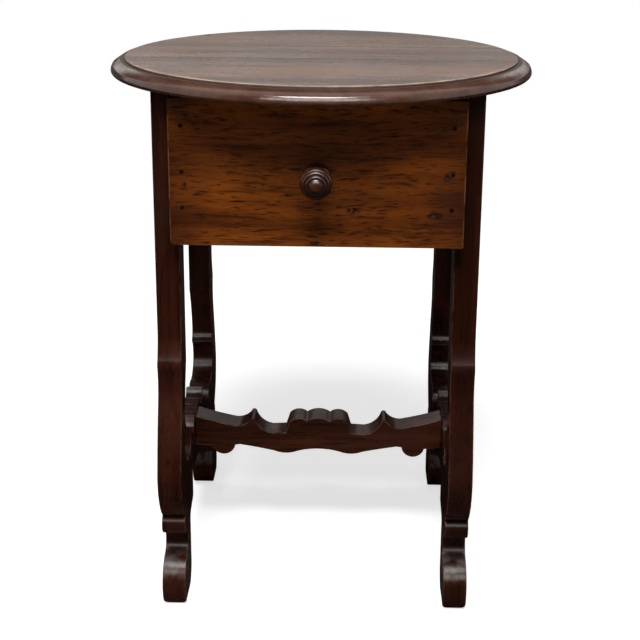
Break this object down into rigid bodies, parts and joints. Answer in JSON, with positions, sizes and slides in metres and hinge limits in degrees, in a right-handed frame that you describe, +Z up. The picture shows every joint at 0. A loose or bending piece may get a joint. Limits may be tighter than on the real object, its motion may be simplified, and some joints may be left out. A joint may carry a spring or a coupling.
{
  "type": "round side table with drawer",
  "caption": "Round side table with a moulded top, a deep knobbed drawer and flat scroll-cut legs joined by a scalloped H-shaped stretcher.",
  "frame": {"origin": "on the floor, under the middle of the top", "axes": "+X to the right as seen from the drawer, -Y out of the drawer front, +Z up"},
  "size_m": [0.536, 0.552, 0.687],
  "materials": {
    "top_wood": "worn satin wax over dark brown wood",
    "leg_wood": "very dark brown wax, satin",
    "drawer_wood": "warm mid-brown wax, satin",
    "hidden_wood": "plain dry wood, not finished",
    "iron": "dark aged iron"
  },
  "bodies": {
    "frame": {"top_board_front": "top_wood", "top_board_middle": "top_wood", "top_board_back": "top_wood", "leg_front_left": "leg_wood", "leg_front_right": "leg_wood", "leg_rear_left": "leg_wood", "leg_rear_right": "leg_wood", "apron_left": "leg_wood", "apron_right": "leg_wood", "apron_back": "leg_wood", "front_upper_rail": "leg_wood", "front_lower_rail": "leg_wood", "drawer_runner_left": "hidden_wood", "drawer_runner_right": "hidden_wood", "drawer_guide_left": "hidden_wood", "drawer_guide_right": "hidden_wood", "top_cleat_left": "hidden_wood", "top_cleat_right": "hidden_wood", "side_stretcher_left": "leg_wood", "side_stretcher_right": "leg_wood", "cross_stretcher": "leg_wood", "apron_pegs": "leg_wood", "stretcher_pegs": "leg_wood", "top_screws": "iron", "runner_nails": "iron"},
    "drawer": {"drawer_front": "drawer_wood", "drawer_side_left": "hidden_wood", "drawer_side_right": "hidden_wood", "drawer_back": "hidden_wood", "drawer_bottom": "hidden_wood", "drawer_knob": "drawer_wood", "drawer_front_nails": "iron", "drawer_back_nails": "iron", "drawer_bottom_nails": "iron"}
  },
  "joints": [
    {"name": "drawer_slide", "type": "slide", "parent": "frame", "child": "drawer", "axis": [0, -1, 0], "range_m": [0, 0.22]}
  ]
}
